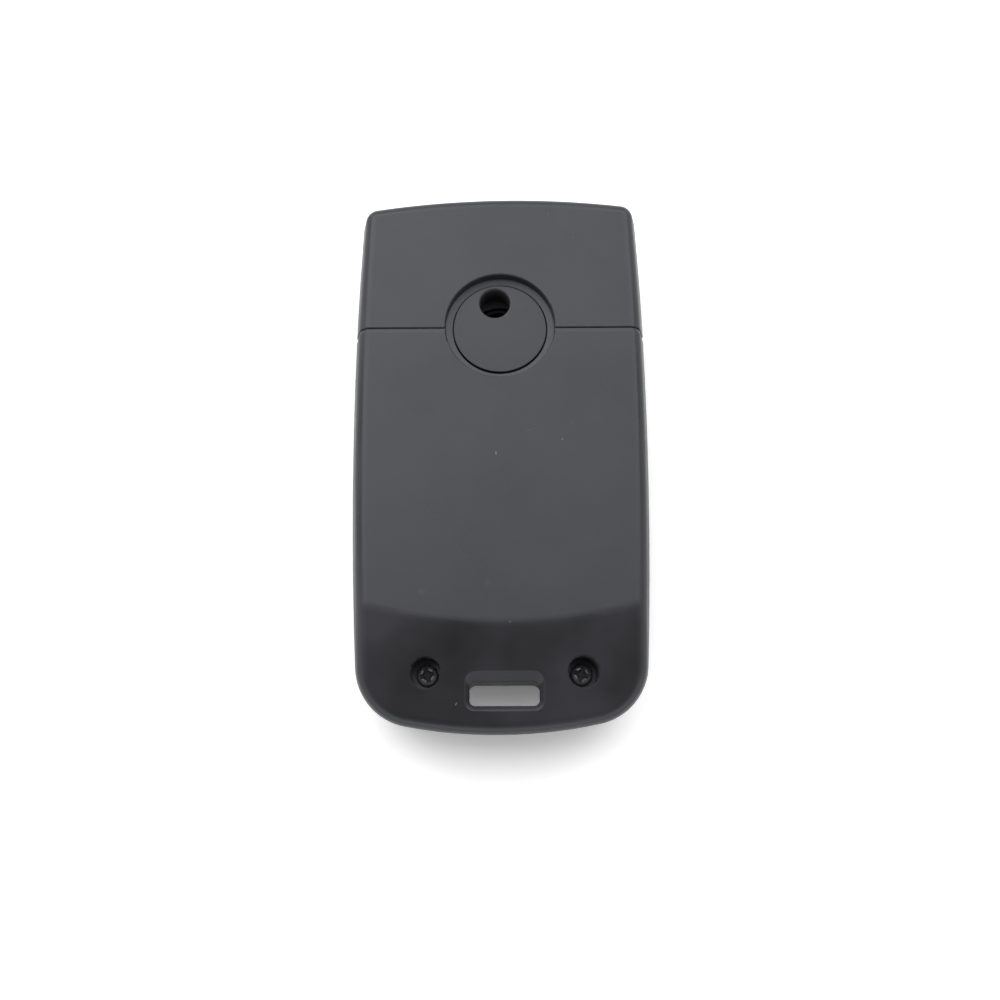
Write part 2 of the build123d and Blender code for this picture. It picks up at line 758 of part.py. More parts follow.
# Blade carrier: hub, flange, arm and the disc that shows in the back
with BuildPart() as blade_carrier:
    with BuildSketch(Plane.XY.offset(carrier_low)) as hub_plan:
        with Locations((0, pivot_y)):
            Rectangle(2 * arm_half, arm_length, align=(Align.CENTER, Align.MAX))
            Circle(arm_length, mode=Mode.INTERSECT)
            Circle(carrier_radius)
        fillet(hub_plan.vertices().sort_by(Axis.Y)[:2], arm_tip_radius)
        fillet(hub_plan.vertices().filter_by(lambda corner: isclose(corner.Y, arm_root_y)), arm_root_radius)
    extrude(amount=carrier_thickness)
    outer_edges = blade_carrier.edges().group_by(Axis.Z)
    fillet(outer_edges[0] + outer_edges[-1], arm_edge_radius)
    with BuildSketch(Plane.XY.offset(spigot_low)):
        with Locations((0, pivot_y)):
            Circle(spigot_radius)
    extrude(amount=spigot_length)
    with BuildSketch(Plane.XY.offset(carrier_high)):
        with Locations((0, pivot_y)):
            Circle(disc_radius)
    extrude(amount=carrier_drop - disc_drop)
    fillet(blade_carrier.edges().group_by(Axis.Z)[-1], disc_edge_radius)
    with BuildSketch(Plane.XY.offset(spigot_low)):
        with Locations((0, pivot_y)):
            Circle(chamber_radius)
    extrude(amount=chamber_depth, mode=Mode.SUBTRACT)
    with BuildSketch(Plane.XY.offset(spigot_low)):
        with Locations((0, pivot_y)):
            Circle(spring_well_radius)
    extrude(amount=spring_well_depth, mode=Mode.SUBTRACT)
    with BuildSketch(Plane.XY.offset(disc_height)):
        with Locations((disc_hole_x, pivot_y + disc_hole_y)):
            Circle(disc_hole_radius)
    extrude(amount=-disc_hole_depth, mode=Mode.SUBTRACT)
    hole_rim = blade_carrier.edges().sort_by_distance((disc_hole_x, pivot_y + disc_hole_y, disc_height))
    fillet(hole_rim.filter_by(GeomType.CIRCLE)[0], disc_hole_rim)
    with BuildSketch(Plane.XY.offset(blade_low - blade_fit)):
        with Locations((0, pivot_y - blade_root)):
            Rectangle(blade_width + 2 * blade_fit, arm_length, align=(Align.CENTER, Align.MAX))
    extrude(amount=blade_thickness + 2 * blade_fit, mode=Mode.SUBTRACT)
    with BuildSketch(Plane.XY.offset(carrier_low)):
        with Locations((0, pivot_y - pin_reach)):
            Circle(pin_radius + pin_fit)
    extrude(amount=carrier_thickness, mode=Mode.SUBTRACT)

# Key blade: an uncut blank with a milled groove in each face
with BuildPart() as key_blade:
    tip_y = pivot_y - blade_reach
    with BuildSketch(Plane.XY.offset(blade_low)):
        with BuildLine():
            Polyline(
                (-blade_width / 2, pivot_y - blade_root - blade_fit),
                (blade_width / 2, pivot_y - blade_root - blade_fit),
                (blade_width / 2, tip_y + blade_point),
                (blade_width / 6, tip_y),
                (-blade_width / 6, tip_y),
                (-blade_width / 2, tip_y + blade_point),
                close=True,
            )
        make_face()
    extrude(amount=blade_thickness)
    groove_length = blade_reach - groove_start - groove_end_gap
    with BuildSketch(Plane.XY.offset(blade_low)):
        with Locations((groove_width / 2, pivot_y - groove_start)):
            SlotOverall(groove_length, groove_width, rotation=90, align=(Align.MAX, Align.CENTER))
    extrude(amount=groove_depth, mode=Mode.SUBTRACT)
    with BuildSketch(Plane.XY.offset(blade_high)):
        with Locations((-groove_width / 2, pivot_y - groove_start)):
            SlotOverall(groove_length, groove_width, rotation=90, align=(Align.MAX, Align.CENTER))
    extrude(amount=-groove_depth, mode=Mode.SUBTRACT)
    with BuildSketch(Plane.XY.offset(blade_low)):
        with Locations((0, pivot_y - pin_reach)):
            Circle(pin_radius + pin_fit)
    extrude(amount=blade_thickness, mode=Mode.SUBTRACT)

# Spring pin through the carrier and the blade's root
with BuildPart() as blade_pin:
    with BuildSketch(Plane.XY.offset(carrier_low + washer_gap)):
        with Locations((0, pivot_y - pin_reach)):
            Circle(pin_radius)
            Circle(pin_radius / 2, mode=Mode.SUBTRACT)
            Rectangle(pin_radius, pin_radius / 4, align=(Align.MIN, Align.CENTER), mode=Mode.SUBTRACT)
    extrude(amount=carrier_thickness - 2 * washer_gap)

# Release button, keyed against turning by the two ribs of the tower
with BuildPart() as release_button:
    with BuildSketch(Plane.XY.offset(button_face)):
        with Locations((0, pivot_y)):
            Circle(button_radius)
    extrude(amount=front_plate + plate_gap - button_face)
    with BuildSketch(Plane.XY.offset(front_plate + plate_gap)):
        with Locations((0, pivot_y)):
            Circle(button_flange_radius)
        with Locations((-button_flange_radius, pivot_y), (button_flange_radius, pivot_y)):
            Rectangle(2 * (button_flange_radius - button_radius), key_rib_width + 2 * key_rib_gap,
                      mode=Mode.SUBTRACT)
    extrude(amount=button_flange_top - front_plate - plate_gap)
    with BuildSketch(Plane.XY.offset(button_flange_top)):
        with Locations((0, pivot_y)):
            Circle(skirt_radius)
    extrude(amount=skirt_top - button_flange_top)
    with BuildSketch(Plane.XY.offset(button_floor)):
        with Locations((0, pivot_y)):
            Circle(skirt_radius - skirt_wall)
    extrude(amount=skirt_top, mode=Mode.SUBTRACT)
    add(face_dish(0, pivot_y, button_radius - skirt_wall, button_dish, button_face), mode=Mode.SUBTRACT)

# Flip spring, between the button's floor and the hub's well
with BuildPart() as flip_spring:
    coil_low = button_floor + spring_seat_gap + wire_radius
    coil_height = spring_well_roof - spring_seat_gap - wire_radius - coil_low
    with BuildLine() as coil:
        Helix(coil_height / spring_turns, coil_height, spring_radius, center=(0, pivot_y, coil_low))
    with BuildSketch(Plane(origin=coil.line @ 0, z_dir=coil.line % 0)):
        Circle(wire_radius)
    sweep()


def flat_washer(low, high, inner, outer):
    """Thin ring about the pivot between two levels."""
    with BuildPart() as washer:
        with BuildSketch(Plane.XY.offset(low)):
            with Locations((0, pivot_y)):
                Circle(outer)
                Circle(inner, mode=Mode.SUBTRACT)
        extrude(amount=high - low)
    return washer


lower_washer = flat_washer(
    tower_top + washer_gap, carrier_low - washer_gap, spigot_radius + disc_gap, tower_radius
)
upper_washer = flat_washer(
    carrier_high + washer_gap, rim_low - washer_gap, disc_radius + disc_gap, carrier_radius - arm_edge_radius
)

# Chip holder: an open tray in its ribs beside the tower
with BuildPart() as chip_holder:
    with BuildSketch(Plane.XY.offset(front_plate)):
        with Locations((chip_x, chip_y)):
            Rectangle(chip_width, chip_length)
    extrude(amount=chip_height)
    with BuildSketch(Plane.XY.offset(front_plate + chip_wall)):
        with Locations((chip_x, chip_y)):
            Rectangle(chip_width - 2 * chip_wall, chip_length - 2 * chip_wall)
    extrude(amount=chip_height, mode=Mode.SUBTRACT)
    with BuildSketch(Plane.XY.offset(front_plate + chip_height / 2)):
        with Locations((chip_x, chip_y)):
            Rectangle(chip_width / 2, chip_length)
    extrude(amount=chip_height, mode=Mode.SUBTRACT)

# Soft pad that the blade's tip lies over
with BuildPart() as blade_pad:
    with BuildSketch(Plane.XY.offset(board_cover_top)):
        with Locations((0, pivot_y - blade_reach + pad_inset)):
            RectangleRounded(pad_size, pad_size, membrane_corner)
    extrude(amount=pad_thickness)

pieces = {
    "front_shell": front_shell,
    "head_cover": head_cover,
    "back_cover": back_cover,
    "board_cover": board_cover,
    "keypad_membrane": keypad_membrane,
    "blade_carrier": blade_carrier,
    "key_blade": key_blade,
    "blade_pin": blade_pin,
    "release_button": release_button,
    "flip_spring": flip_spring,
    "lower_washer": lower_washer,
    "upper_washer": upper_washer,
    "chip_holder": chip_holder,
    "blade_pad": blade_pad,
    "case_screw_left": pan_screw(screw_left_x, screw_y, screw_seat, shank_length, screw_head_height),
    "case_screw_right": pan_screw(screw_right_x, screw_y, screw_seat, shank_length, screw_head_height),
    "head_screw": pan_screw(
        ear_screw_x, ear_screw_y, parting_height + ear_thickness, shank_length, ear_screw_head_height
    ),
    **keys,
}
os.makedirs("parts", exist_ok=True)
for name, piece in pieces.items():
    piece.part.label = name
    export_step(piece.part, f"parts/{name}.step")
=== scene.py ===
import json
from math import cos, pi, radians, sin

import bmesh
import bpy
from mathutils import Matrix, Vector

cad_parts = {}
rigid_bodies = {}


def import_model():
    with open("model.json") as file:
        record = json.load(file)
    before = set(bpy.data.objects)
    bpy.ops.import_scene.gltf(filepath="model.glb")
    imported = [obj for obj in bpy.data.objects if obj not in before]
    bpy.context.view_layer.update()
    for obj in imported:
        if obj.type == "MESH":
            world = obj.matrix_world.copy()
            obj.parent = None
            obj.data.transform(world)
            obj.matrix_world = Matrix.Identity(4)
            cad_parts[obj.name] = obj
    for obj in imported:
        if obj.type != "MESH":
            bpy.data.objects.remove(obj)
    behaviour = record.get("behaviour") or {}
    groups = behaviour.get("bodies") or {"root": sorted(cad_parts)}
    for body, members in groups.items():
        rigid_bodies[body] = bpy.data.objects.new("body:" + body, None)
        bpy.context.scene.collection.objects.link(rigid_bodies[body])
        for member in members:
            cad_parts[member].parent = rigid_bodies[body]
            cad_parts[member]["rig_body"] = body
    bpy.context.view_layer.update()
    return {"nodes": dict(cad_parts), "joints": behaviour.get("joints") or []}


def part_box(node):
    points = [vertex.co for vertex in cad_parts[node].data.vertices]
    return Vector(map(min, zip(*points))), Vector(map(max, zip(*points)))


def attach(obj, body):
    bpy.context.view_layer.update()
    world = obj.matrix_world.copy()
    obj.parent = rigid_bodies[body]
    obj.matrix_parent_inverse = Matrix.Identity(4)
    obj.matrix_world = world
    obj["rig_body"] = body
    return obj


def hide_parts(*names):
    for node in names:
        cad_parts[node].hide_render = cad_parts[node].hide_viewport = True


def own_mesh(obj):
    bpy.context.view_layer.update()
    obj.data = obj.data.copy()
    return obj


# Metres throughout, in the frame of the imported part. The back faces up and the head points to +Y.
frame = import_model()
joints = {joint["name"]: joint for joint in frame["joints"]}

MM = 0.001
WHITE = (1, 1, 1, 1)

# Camera: nearly straight above, a little towards the key ring end
CAMERA_PLACE = (-0.12 * MM, -43.175 * MM, 152.9 * MM)
CAMERA_PITCH = 14.5
CAMERA_ROLL = -0.31
LENS_MM = 38.99
SENSOR_MM = 36.0
NEAREST_SEEN = 5 * MM

# Floor: the shade that lights the part, and the paler one that the camera sees
FLOOR_SIZE = 1.6
FLOOR_DROP = 0.05 * MM
FLOOR_SHADE = (0.75, 0.75, 0.75, 1)
FLOOR_SEEN = (1.22, 1.22, 1.22, 1)

# Room: strength of its light, dim overhead and towards -Y, bright towards +Y, and what the sides add to it
WORLD_DIM = 0.28
WORLD_BRIGHT = 1.0
WORLD_TURN = (-0.05, 0.85)
WORLD_SIDES = 0.7

# Glow low down beyond the key ring end: its strength, the heights that it fades between, and its focus
GLOW = 0.22
GLOW_FADE = (0.1, 0.7)
GLOW_FOCUS = 3.0

# Soft boxes: tilt over the head end, reach and size, and the watts of each by its place from side to side
SOFT_BOX_ANGLE = 31.0
SOFT_BOX_REACH = 0.63
SOFT_BOX_SIZE = (0.7, 0.72)
SOFT_BOX_WATTS = {-0.358: 3.3, 0.358: 2.63}

# Black plastic of the shell, and the cool cast of the light that every plastic gives back
SHELL_BLACK = (0.0118, 0.0102, 0.0122)
SHELL_ROUGHNESS = 0.33
PLASTIC_SHEEN = (0.88, 0.938, 1.0, 1)

# Other plastics and rubber: colour, roughness, and the nodes that are made of them
PLASTICS = {
    "moulded_black": ((0.012, 0.012, 0.013), 0.4, ("board_cover", "chip_holder")),
    "key_black": ((0.020, 0.020, 0.021), 0.45, ("lock_key", "unlock_key", "boot_key", "release_button")),
    "silicone_grey": ((0.06, 0.06, 0.065), 0.6, ("keypad_membrane", "blade_pad")),
}

# Metals: colour, roughness, fineness of the grain along each axis, and how metallic
METALS = {
    "blade_steel": ((0.62, 0.61, 0.58, 1), 0.3, (9000, 400, 9000), 1.0),
    "pin_steel": ((0.45, 0.45, 0.46, 1), 0.3, (3000, 3000, 3000), 1.0),
    "spring_steel": ((0.010, 0.010, 0.011, 1), 0.55, (3000, 3000, 3000), 1.0),
    "screw_black": ((0.14, 0.137, 0.15, 1), 0.24, (3000, 3000, 3000), 0.4),
}

# Noises of the surfaces, and the ends that most of a noise lies between
TOUCH_GRAIN = {"Scale": 9000.0, "Detail": 2.0, "Roughness": 0.6}
CLOUDS = {"Scale": 70.0, "Detail": 3.0, "Roughness": 0.5}
METAL_GRAIN = {"Scale": 1.0, "Detail": 3.0, "Roughness": 0.6}
NOISE_ENDS = (0.3, 0.7)

# What the noises do: relief as strength and depth, clouds in colour and gloss, and gloss of the metals
TOUCH_RELIEF = (0.3, 0.02 * MM)
METAL_RELIEF = (0.2, 0.008 * MM)
CLOUD_SHADES = (0.4, 1.6)
CLOUD_GLOSS = 0.08
METAL_GLOSS = (0.7, 1.3)

# Marks on the back face: middle in millimetres, half length, half width, angle, and share of white
MARKS = (
    ((-0.62, -1.05), 0.32, 0.06, 90, 0.16),
    ((8.26, 0.85), 0.20, 0.06, 35, 0.12),
    ((9.72, 3.09), 0.8, 0.04, 120, 0.02),
    ((3.94, 2.14), 1.1, 0.04, 20, 0.02),
    ((-5.85, -33.78), 0.28, 0.07, 55, 0.14),
    ((1.07, -23.58), 0.14, 0.07, 10, 0.08),
    ((-10.35, -19.68), 0.7, 0.5, 0, 0.006),
    ((-1.73, -18.43), 0.6, 0.5, 30, 0.005),
    ((10.32, 30.55), 0.10, 0.08, 0, 0.05),
    ((6.87, 34.15), 0.10, 0.08, 0, 0.05),
)

# Shares of a mark's half size between which it fades
MARK_FADE = (0.3, 1.2)

# Rings about upright axes, where the moulding's gloss is duller and where light or shade is painted into
# its colour: the screws' bores, the hub's recess and the hole in its disc
BORE_RADIUS = 2.02 * MM
BORE_RIM = 0.16 * MM
BORE_DULLING = 0.45
# Painted shade on each bore's round rim, dimming its highlight, and painted light inside each bore, lifting
# the shade on its walls
BORE_RIM_PAINTED_SHADE = -0.007
BORE_PAINTED_LIGHT = 0.045
PIVOT = joints["blade_flip"]["pos_m"][:2]
RECESS_RADII = (6.5 * MM, 7.47 * MM)
# Painted light on the recess's floor between the disc and the wall, lifting the wall's shade
RECESS_PAINTED_LIGHT = 0.0125
DISC_HOLE = (-0.71 * MM, 21.09 * MM)
DISC_HOLE_RADIUS = 2.05 * MM
# Painted shade in the disc's hole, darkening what shows down it
DISC_HOLE_PAINTED_SHADE = -0.0045
DISC_HOLE_DULLING = 0.4

# Screws: turn of the driver recess in degrees and height of the head, and the sides of their round forms
SCREWS = {
    "case_screw_left": (15, 1.2 * MM),
    "case_screw_right": (-18, 1.2 * MM),
    "head_screw": (30, 0.85 * MM),
}
SCREW_SIDES = 48

# Screw head: its seat, the share of its height that is side, its round edge, and the flat at its middle
HEAD_SEAT_SHARE = 0.97
HEAD_SEAT_EDGE = 0.04 * MM
HEAD_SIDE = 0.35
HEAD_SQUARENESS = 0.4
HEAD_EDGE_ANGLES = (0, 1, 4, 10, 18, 28, 40, 52, 64, 74, 81, 86)
HEAD_CENTRE = 0.03 * MM

# Screw shank: point and core as shares of its radius, and the thread's levels as shares of its pitch
SHANK_RADIUS = 0.85 * MM
SHANK_STOP = 0.02 * MM
POINT_SHARE = 0.4
CORE_SHARE = 0.75
THREAD_PITCH = 0.6 * MM
POINT_LEVEL = 0.6
CREST_LEVEL = 0.4
ROOT_LEVEL = 0.8

# Driver recess: reach, half width and corner of its wings at its floor and just above the head
DRIVER_DEPTH = 0.55 * MM
DRIVER_TIP = 0.15 * MM
DRIVER_RISE = 0.1 * MM
DRIVER_FLOOR = (0.45 * MM, 0.20 * MM, 0.14 * MM)
DRIVER_MOUTH = (1.16 * MM, 0.33 * MM, 0.36 * MM)

# Edges of a finished screw: width and steps of the rounding, and from what angle one is rounded or sharp
ROUNDING = 0.08 * MM
ROUNDING_STEPS = 2
ROUNDED_ANGLE = 35
SHARP_ANGLE = 40


def node(tree, kind, **settings):
    """Add a shader node; settings name its plain properties or its inputs' values."""
    made = tree.nodes.new(kind)
    for name, value in settings.items():
        if hasattr(made, name):
            setattr(made, name, value)
        else:
            made.inputs[name.replace("_", " ")].default_value = value
    return made


def feed(tree, made, *values):
    """Join sockets to a node's inputs in their order, or set plain values there; gives its first output."""
    for socket, value in zip(made.inputs, values):
        if isinstance(value, bpy.types.NodeSocket):
            tree.links.new(value, socket)
        else:
            socket.default_value = value
    return made.outputs[0]


def calculate(tree, operation, *values):
    """Result of a math node on sockets or plain numbers."""
    return feed(tree, node(tree, "ShaderNodeMath", operation=operation), *values)


def ranged(tree, value, ends, results, kind="LINEAR"):
    """Value of a socket taken from one range to another and held at its ends."""
    made = node(tree, "ShaderNodeMapRange", interpolation_type=kind)
    return feed(tree, made, value, *ends, *results)


def mixed(tree, share, first, second):
    """Mix of two shaders by a socket."""
    return feed(tree, tree.nodes.new("ShaderNodeMixShader"), share, first, second)


def noise(tree, place, settings):
    """Noise texture over a place."""
    return feed(tree, node(tree, "ShaderNodeTexNoise", **settings), place)


def add_relief(tree, shader, height, relief):
    """Fine bumps from a noise, by their strength and depth."""
    strength, depth = relief
    bump = node(tree, "ShaderNodeBump", Strength=strength, Distance=depth)
    tree.links.new(height, bump.inputs["Height"])
    tree.links.new(bump.outputs["Normal"], shader.inputs["Normal"])


def new_material(name):
    """Empty node material with its output and its Principled shader, joined."""
    material = bpy.data.materials.new(name)
    material.use_nodes = True
    tree = material.node_tree
    tree.nodes.clear()
    output = tree.nodes.new("ShaderNodeOutputMaterial")
    shader = tree.nodes.new("ShaderNodeBsdfPrincipled")
    tree.links.new(shader.outputs["BSDF"], output.inputs["Surface"])
    return material, tree, shader


def add_world():
    """Pale room: bright beyond the head end, dim overhead and behind the camera, and white when seen."""
    world = bpy.data.worlds.new("studio")
    world.use_nodes = True
    tree = world.node_tree
    tree.nodes.clear()
    way = tree.nodes.new("ShaderNodeTexCoord")
    parts = tree.nodes.new("ShaderNodeSeparateXYZ")
    tree.links.new(way.outputs["Generated"], parts.inputs[0])
    x, y, z = parts.outputs
    ends = ranged(tree, y, WORLD_TURN, (WORLD_DIM, WORLD_BRIGHT), "SMOOTHSTEP")
    across = calculate(tree, "MULTIPLY", x, x)
    sides = calculate(tree, "MULTIPLY_ADD", across, WORLD_SIDES, ends)
    low = ranged(tree, z, GLOW_FADE, (GLOW, 0.0), "SMOOTHSTEP")
    behind = calculate(tree, "POWER", calculate(tree, "SUBTRACT", 1.0, y), GLOW_FOCUS)
    total = calculate(tree, "MULTIPLY_ADD", low, behind, sides)
    light = feed(tree, tree.nodes.new("ShaderNodeBackground"), WHITE, total)
    white = feed(tree, tree.nodes.new("ShaderNodeBackground"), WHITE, 1.0)
    rays = tree.nodes.new("ShaderNodeLightPath").outputs
    seen = calculate(tree, "MAXIMUM", rays["Is Camera Ray"], rays["Is Transmission Ray"])
    output = tree.nodes.new("ShaderNodeOutputWorld")
    tree.links.new(mixed(tree, seen, light, white), output.inputs["Surface"])
    bpy.context.scene.world = world


def add_floor():
    """Plain white floor just below the case; the camera sees it paler, so that only the shadow shows."""
    bpy.ops.mesh.primitive_plane_add(size=FLOOR_SIZE, location=(0, 0, -FLOOR_DROP))
    floor = bpy.context.active_object
    floor.name = "floor"
    material, tree, shader = new_material("floor_white")
    tree.nodes.remove(shader)
    plain = feed(tree, tree.nodes.new("ShaderNodeBsdfDiffuse"), FLOOR_SHADE)
    paler = feed(tree, tree.nodes.new("ShaderNodeBsdfDiffuse"), FLOOR_SEEN)
    rays = tree.nodes.new("ShaderNodeLightPath").outputs
    surface = mixed(tree, rays["Is Camera Ray"], plain, paler)
    tree.links.new(surface, tree.nodes["Material Output"].inputs["Surface"])
    floor.data.materials.append(material)


def add_soft_boxes():
    """Two large soft lamps side by side over the head end, the left one a little brighter."""
    turn = Matrix.Rotation(radians(-SOFT_BOX_ANGLE), 4, "X")
    for side, watts in SOFT_BOX_WATTS.items():
        lamp = bpy.data.lights.new("soft_box", "AREA")
        lamp.shape = "RECTANGLE"
        lamp.size, lamp.size_y = SOFT_BOX_SIZE
        lamp.energy = watts
        holder = bpy.data.objects.new("soft_box", lamp)
        bpy.context.collection.objects.link(holder)
        holder.matrix_world = turn @ Matrix.Translation((side, 0, SOFT_BOX_REACH))


def add_camera():
    """Camera at the photograph's viewing angle."""
    camera = bpy.data.cameras.new("camera")
    camera.lens = LENS_MM
    camera.sensor_width = SENSOR_MM
    camera.clip_start = NEAREST_SEEN
    holder = bpy.data.objects.new("camera", camera)
    bpy.context.collection.objects.link(holder)
    pitch = Matrix.Rotation(radians(CAMERA_PITCH), 4, "X")
    roll = Matrix.Rotation(radians(CAMERA_ROLL), 4, "Z")
    holder.matrix_world = Matrix.Translation(CAMERA_PLACE) @ pitch @ roll
    bpy.context.scene.camera = holder


def mark_mask(tree, place, marks):
    """Share of white: each small mark's own on that mark, and 0 elsewhere."""
    total = 0.0
    for (x, y), half_length, half_width, angle, share in marks:
        turned = node(tree, "ShaderNodeMapping", vector_type="TEXTURE",
                      Location=(x * MM, y * MM, 0), Rotation=(0, 0, radians(angle)),
                      Scale=(half_length * MM, half_width * MM, 1))
        reach = node(tree, "ShaderNodeVectorMath", operation="LENGTH")
        feed(tree, reach, feed(tree, turned, place))
        spot = ranged(tree, reach.outputs["Value"], MARK_FADE, (share, 0.0), "SMOOTHSTEP")
        total = calculate(tree, "MAXIMUM", total, spot)
    return total


def ring_mask(tree, place, rings):
    """Sum of rings about upright axes, each with its inner and outer radius and its weight."""
    flat = feed(tree, node(tree, "ShaderNodeVectorMath", operation="MULTIPLY"), place, (1, 1, 0))
    total = 0.0
    for (x, y), inner, outer, weight in rings:
        away = node(tree, "ShaderNodeVectorMath", operation="DISTANCE")
        feed(tree, away, flat, (x, y, 0))
        inside = calculate(tree, "COMPARE", away.outputs["Value"], (inner + outer) / 2, (outer - inner) / 2)
        total = calculate(tree, "MULTIPLY_ADD", inside, weight, total)
    return total


def soft_plastic(name, colour, roughness, marks=(), dull_rings=(), painted_shading_rings=()):
    """Matte soft touch plastic with a very fine grain, faint clouds, uneven gloss, marks, and rings of
    duller gloss and of painted light or shade.
    """
    material, tree, shader = new_material(name)
    place = tree.nodes.new("ShaderNodeTexCoord").outputs["Object"]
    grain = noise(tree, place, TOUCH_GRAIN)
    clouds = noise(tree, place, CLOUDS)
    shade = node(tree, "ShaderNodeVectorMath", operation="SCALE", Vector=colour)
    tree.links.new(ranged(tree, clouds, NOISE_ENDS, CLOUD_SHADES), shade.inputs["Scale"])
    surface = shade.outputs["Vector"]
    # Painted light and shade: the rings add to the base colour, paler where shade is lifted and darker
    # where a highlight is dimmed
    if painted_shading_rings:
        paler = node(tree, "ShaderNodeVectorMath", operation="ADD")
        surface = feed(tree, paler, surface, ring_mask(tree, place, painted_shading_rings))
    if marks:
        worn = node(tree, "ShaderNodeMix", data_type="RGBA", B=WHITE)
        tree.links.new(mark_mask(tree, place, marks), worn.inputs["Factor"])
        tree.links.new(surface, worn.inputs["A"])
        surface = worn.outputs["Result"]
    tree.links.new(surface, shader.inputs["Base Color"])
    dullness = ranged(tree, clouds, NOISE_ENDS, (roughness - CLOUD_GLOSS, roughness + CLOUD_GLOSS))
    if dull_rings:
        dullness = calculate(tree, "ADD", ring_mask(tree, place, dull_rings), dullness)
    tree.links.new(dullness, shader.inputs["Roughness"])
    shader.inputs["Specular Tint"].default_value = PLASTIC_SHEEN
    add_relief(tree, shader, grain, TOUCH_RELIEF)
    return material


def metal(name):
    """Metal with a fine grain in its gloss and relief, drawn out along any axis where it is coarser."""
    colour, roughness, fineness, metallic = METALS[name]
    material, tree, shader = new_material(name)
    place = tree.nodes.new("ShaderNodeTexCoord").outputs["Object"]
    stretched = feed(tree, node(tree, "ShaderNodeMapping", Scale=fineness), place)
    grain = noise(tree, stretched, METAL_GRAIN)
    dullness = ranged(tree, grain, NOISE_ENDS, [roughness * share for share in METAL_GLOSS])
    tree.links.new(dullness, shader.inputs["Roughness"])
    shader.inputs["Base Color"].default_value = colour
    shader.inputs["Metallic"].default_value = metallic
    add_relief(tree, shader, grain, METAL_RELIEF)
    return material


def dress(material, *names):
    """Give CAD nodes a material in all their slots."""
    for name in names:
        mesh = frame["nodes"][name].data
        mesh.materials.clear()
        mesh.materials.append(material)


def dress_shell():
    """Black mouldings of the outside, each with its marks, its rings of duller gloss and its rings of
    painted light or shade.
    """
    dull_bores = []
    painted_bore_shading = []
    for screw_name in ("case_screw_left", "case_screw_right"):
        lowest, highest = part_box(screw_name)
        middle = ((lowest[0] + highest[0]) / 2, (lowest[1] + highest[1]) / 2)
        rim = (middle, BORE_RADIUS, BORE_RADIUS + BORE_RIM)
        dull_bores.append((*rim, BORE_DULLING))
        # Painted shade on the bore's rim and painted light inside the bore, on its walls
        painted_bore_shading.append((*rim, BORE_RIM_PAINTED_SHADE))
        painted_bore_shading.append((middle, 0.0, BORE_RADIUS, BORE_PAINTED_LIGHT))
    # Painted light on the floor of the hub's recess, around its disc
    painted_recess_light = [(PIVOT, *RECESS_RADII, RECESS_PAINTED_LIGHT)]
    dull_hole = [(DISC_HOLE, 0.0, DISC_HOLE_RADIUS, DISC_HOLE_DULLING)]
    # Painted shade in the hole of the hub's disc
    painted_hole_shade = [(DISC_HOLE, 0.0, DISC_HOLE_RADIUS, DISC_HOLE_PAINTED_SHADE)]
    looks = (
        ("shell_black", "front_shell", (), (), ()),
        ("back_black", "back_cover", MARKS, dull_bores, painted_bore_shading),
        ("head_black", "head_cover", MARKS, (), painted_recess_light),
        ("hub_black", "blade_carrier", (), dull_hole, painted_hole_shade),
    )
    for name, dressed, marks, dull_rings, painted_shading_rings in looks:
        dress(soft_plastic(name, SHELL_BLACK, SHELL_ROUGHNESS, marks, dull_rings, painted_shading_rings), dressed)


def dress_inside():
    """Pieces of the inside and of the key side that keep their CAD shapes."""
    for name, (colour, roughness, dressed) in PLASTICS.items():
        dress(soft_plastic(name, colour, roughness), *dressed)
    dress(metal("blade_steel"), "key_blade")
    dress(metal("pin_steel"), "blade_pin", "lower_washer", "upper_washer")


def circle(mesh, radius, height, steps):
    """Ring of vertices about the Z axis."""
    turns = [2 * pi * step / steps for step in range(steps)]
    return [mesh.verts.new((radius * cos(turn), radius * sin(turn), height)) for turn in turns]


def bridge(mesh, lower, upper):
    """Faces between two rings of as many vertices."""
    count = len(lower)
    for step in range(count):
        following = (step + 1) % count
        mesh.faces.new((lower[step], lower[following], upper[following], upper[step]))


def mesh_object(name, mesh):
    """Scene object from an edited mesh, with its faces turned outwards."""
    bmesh.ops.recalc_face_normals(mesh, faces=mesh.faces)
    data = bpy.data.meshes.new(name)
    mesh.to_mesh(data)
    mesh.free()
    made = bpy.data.objects.new(name, data)
    bpy.context.collection.objects.link(made)
    return made


def lathed(name, profile, steps):
    """Closed mesh turned about the Z axis from radii and heights, from its foot to its top."""
    mesh = bmesh.new()
    rings = [circle(mesh, radius, height, steps) for radius, height in profile]
    for lower, upper in zip(rings, rings[1:]):
        bridge(mesh, lower, upper)
    mesh.faces.new(list(reversed(rings[0])))
    mesh.faces.new(rings[-1])
    return mesh_object(name, mesh)


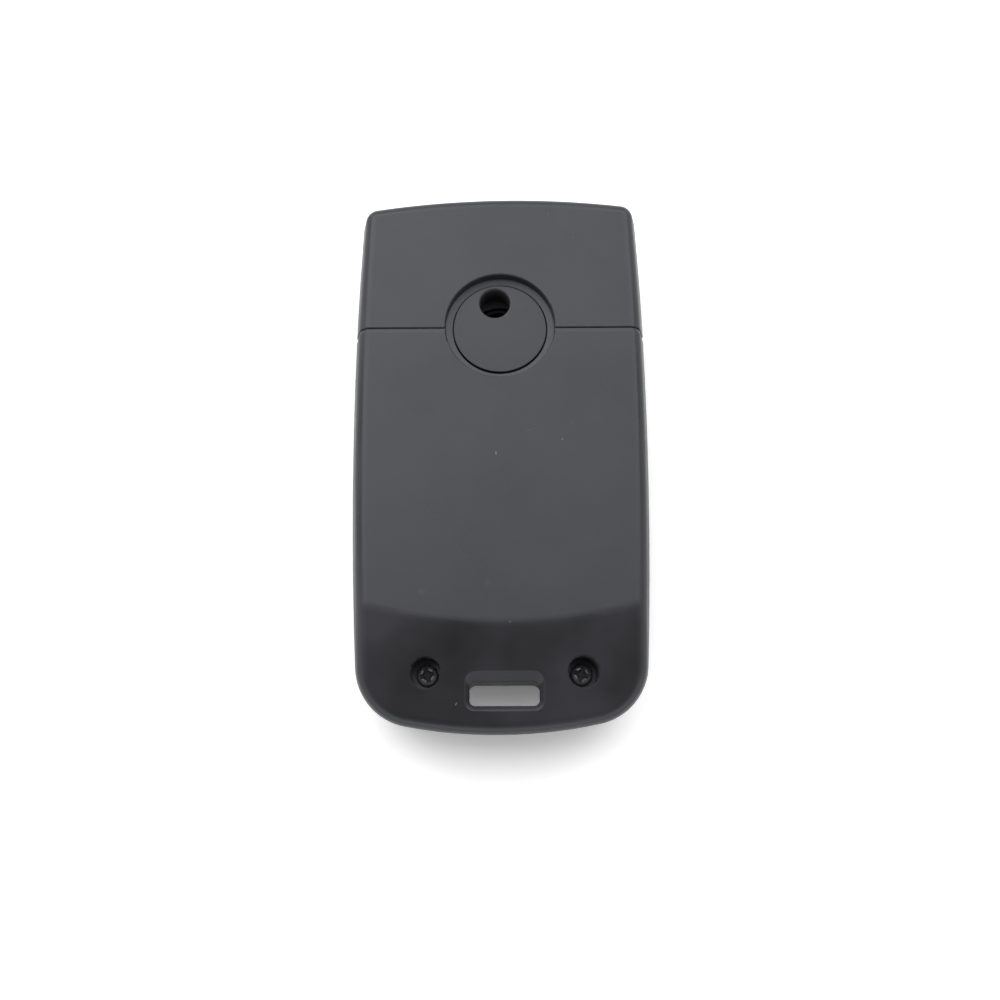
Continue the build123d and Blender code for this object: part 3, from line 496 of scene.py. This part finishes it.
def cross_cutter(top, turn):
    """Tapered four winged driver recess, as a closed mesh to cut away from a screw's head."""
    mesh = bmesh.new()
    foot = top - DRIVER_DEPTH
    rings = []
    for height, (reach, half_width, corner) in ((foot, DRIVER_FLOOR), (top + DRIVER_RISE, DRIVER_MOUTH)):
        wing = ((reach, -half_width), (reach, half_width), (half_width + corner, half_width),
                (half_width, half_width + corner))
        ring = []
        for quarter in range(4):
            spin = radians(turn) + quarter * pi / 2
            for x, y in wing:
                place = (x * cos(spin) - y * sin(spin), x * sin(spin) + y * cos(spin), height)
                ring.append(mesh.verts.new(place))
        rings.append(ring)
    floor_ring, mouth_ring = rings
    tip = mesh.verts.new((0, 0, foot - DRIVER_TIP))
    bridge(mesh, floor_ring, mouth_ring)
    for step, vertex in enumerate(floor_ring):
        mesh.faces.new((vertex, tip, floor_ring[(step + 1) % len(floor_ring)]))
    mesh.faces.new(mouth_ring)
    return mesh_object("driver_cut", mesh)


def head_profile(radius, height):
    """Flat topped pan head with a full round edge, from its seat to its top, as radii and heights."""
    side = HEAD_SIDE * height
    edge = [(radius * cos(radians(angle)) ** HEAD_SQUARENESS,
             side + (height - side) * sin(radians(angle)) ** HEAD_SQUARENESS)
            for angle in HEAD_EDGE_ANGLES]
    return [(radius * HEAD_SEAT_SHARE, 0.0), (radius, HEAD_SEAT_EDGE)] + edge + [(HEAD_CENTRE, height)]


def shank_profile(low, pitch, radius):
    """Thread shown as rings, from the point up to the head, as radii and heights."""
    core = CORE_SHARE * radius
    profile = [(POINT_SHARE * radius, low), (core, low + POINT_LEVEL * pitch)]
    height = low + pitch
    while height + pitch < 0:
        profile.append((core, height))
        profile.append((radius, height + CREST_LEVEL * pitch))
        profile.append((core, height + ROOT_LEVEL * pitch))
        height += pitch
    return profile + [(core, height), (radius, -SHANK_STOP)]


def finished_mesh(screw, cutter):
    """Mesh of a screw with its driver recess cut and its edges softened."""
    cut = screw.modifiers.new("recess", "BOOLEAN")
    cut.operation = "DIFFERENCE"
    cut.solver = "EXACT"
    cut.object = cutter
    soften = screw.modifiers.new("soften", "BEVEL")
    soften.width = ROUNDING
    soften.segments = ROUNDING_STEPS
    soften.limit_method = "ANGLE"
    soften.angle_limit = radians(ROUNDED_ANGLE)
    depsgraph = bpy.context.evaluated_depsgraph_get()
    finished = bpy.data.meshes.new_from_object(screw.evaluated_get(depsgraph))
    for face in finished.polygons:
        face.use_smooth = True
    finished.set_sharp_from_angle(angle=radians(SHARP_ANGLE))
    return finished


def add_screw(name, turn, head_height, material):
    """Pan head screw with its driver recess and thread, in the place of the CAD screw."""
    low, high = (Vector(corner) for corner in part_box(name))
    middle = (low + high) / 2
    seat = high.z - head_height
    profile = shank_profile(low.z - seat, THREAD_PITCH, SHANK_RADIUS)
    profile += head_profile((high.x - low.x) / 2, high.z - seat)
    screw = lathed("detailed_" + name, profile, SCREW_SIDES)
    cutter = cross_cutter(high.z - seat, turn)
    finished = finished_mesh(screw, cutter)
    screw.modifiers.clear()
    bpy.data.objects.remove(cutter)
    finished.materials.clear()
    finished.materials.append(material)
    screw.data = finished
    screw.location = (middle.x, middle.y, seat)
    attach(screw, frame["nodes"][name]["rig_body"])
    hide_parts(name)


def add_screws():
    """All the screws, of one black metal."""
    material = metal("screw_black")
    for name, (turn, head_height) in SCREWS.items():
        add_screw(name, turn, head_height, material)


def add_spring(material):
    """Spring of the hinge, a copy of the CAD coil in its own material, carried with the blade assembly in
    place of the CAD spring.
    """
    coil = frame["nodes"]["flip_spring"].data.copy()
    coil.materials.clear()
    coil.materials.append(material)
    spring = bpy.data.objects.new("pressed_flip_spring", coil)
    bpy.context.collection.objects.link(spring)
    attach(spring, "blade_assembly")
    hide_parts("flip_spring")
    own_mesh(spring)


bpy.context.scene.view_settings.view_transform = "Standard"
add_camera()
add_world()
add_floor()
add_soft_boxes()

dress_shell()
dress_inside()
add_spring(metal("spring_steel"))
add_screws()
